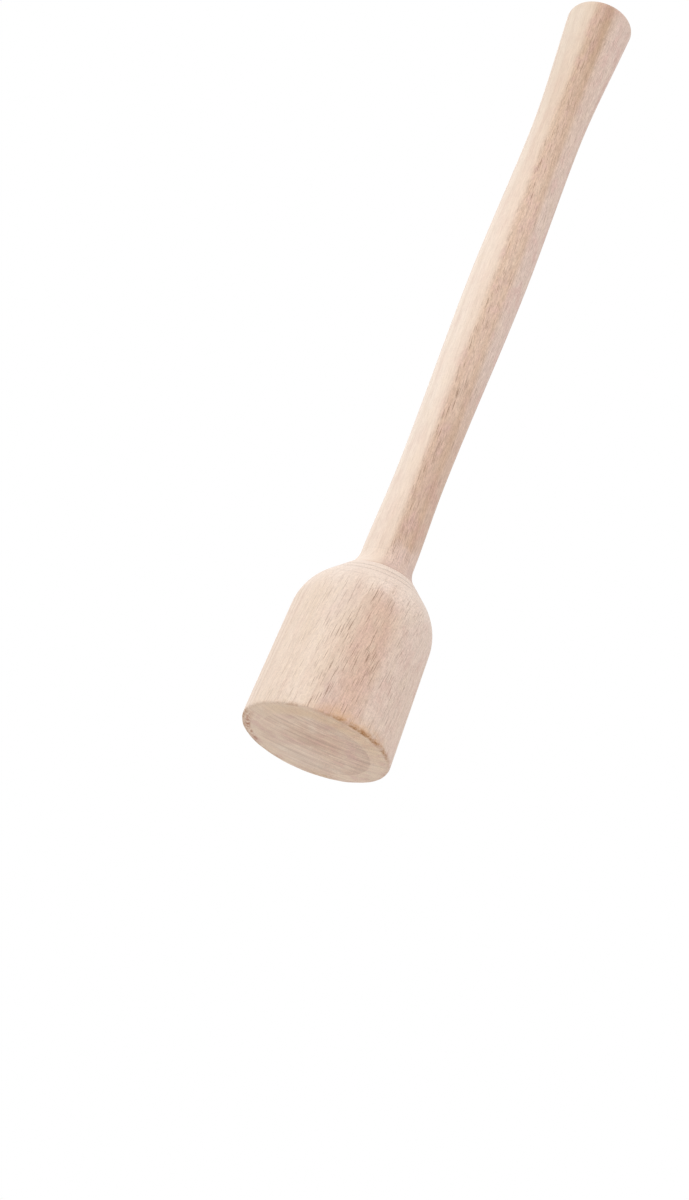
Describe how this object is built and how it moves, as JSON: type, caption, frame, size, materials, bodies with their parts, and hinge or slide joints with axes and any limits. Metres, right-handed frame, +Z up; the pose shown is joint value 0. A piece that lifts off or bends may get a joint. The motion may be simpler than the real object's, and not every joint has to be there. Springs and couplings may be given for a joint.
{
  "type": "kraut stomper",
  "caption": "Turned beech kraut stomper: a heavy round head with a flat foot, a round shoulder and a coned top, glued to a slim waisted handle that ends in a flared knob, for pressing cabbage in a crock.",
  "frame": {"origin": "centre of the flat foot, on the surface that the stomper stands on", "axes": "+Z up the axis from the foot to the knob, -Y towards the side that the picture shows"},
  "size_m": [0.055, 0.055, 0.332],
  "materials": {
    "head_beech": "fine sanded, unfinished beech with dark pore dashes",
    "handle_beech": "fine sanded, unfinished beech, light and brown along a growth ring",
    "wood_glue": "cured wood glue, translucent yellow"
  },
  "bodies": {
    "root": {"head": "head_beech", "handle": "handle_beech", "glue_film": "wood_glue"}
  },
  "joints": []
}
